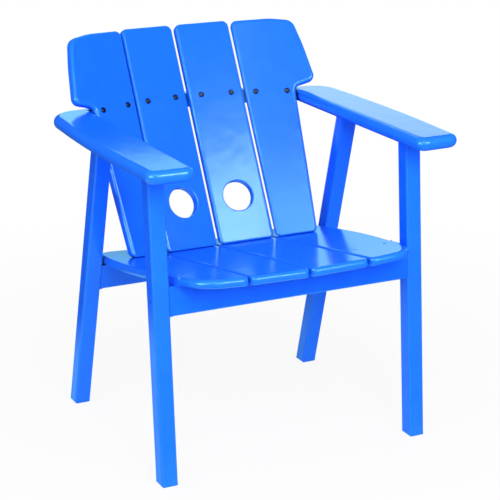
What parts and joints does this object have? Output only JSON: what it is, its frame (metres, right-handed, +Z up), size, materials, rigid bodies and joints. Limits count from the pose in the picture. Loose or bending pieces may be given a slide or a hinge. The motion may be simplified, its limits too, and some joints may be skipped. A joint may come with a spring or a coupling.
{
  "type": "adirondack chair",
  "caption": "Low garden armchair in painted wood: a dished slatted seat, broad flat arms on raked square legs, and a curved reclined back of tall slats with hand holes.",
  "frame": {"origin": "middle of the outer box, on the floor under the chair", "axes": "+Z up, the sitter looks along -Y, +X is to the right of somebody who stands in front and looks at the chair"},
  "size_m": [0.672, 0.6644, 0.7904],
  "materials": {
    "blue_enamel": "gloss enamel paint on hardwood",
    "black_screw": "black oxide, satin",
    "zinc_steel": "bright zinc",
    "beech": "bare, fluted dowel"
  },
  "bodies": {
    "root": {"front_leg_left": "blue_enamel", "front_leg_right": "blue_enamel", "rear_leg_left": "blue_enamel", "rear_leg_right": "blue_enamel", "front_rail": "blue_enamel", "rear_rail": "blue_enamel", "arm_left": "blue_enamel", "arm_right": "blue_enamel", "upper_back_rail": "blue_enamel", "seat_slat_1": "blue_enamel", "seat_slat_2": "blue_enamel", "seat_slat_3": "blue_enamel", "seat_slat_4": "blue_enamel", "back_slat_1": "blue_enamel", "back_slat_2": "blue_enamel", "back_slat_3": "blue_enamel", "back_slat_4": "blue_enamel", "back_screws": "black_screw", "seat_screws_front": "zinc_steel", "seat_screws_rear": "zinc_steel", "seat_screw_plugs": "blue_enamel", "back_foot_screws": "zinc_steel", "frame_bolts": "zinc_steel", "barrel_nuts": "zinc_steel", "rail_dowels": "beech", "arm_dowels": "beech", "arm_joint_dowels": "beech"}
  },
  "joints": []
}
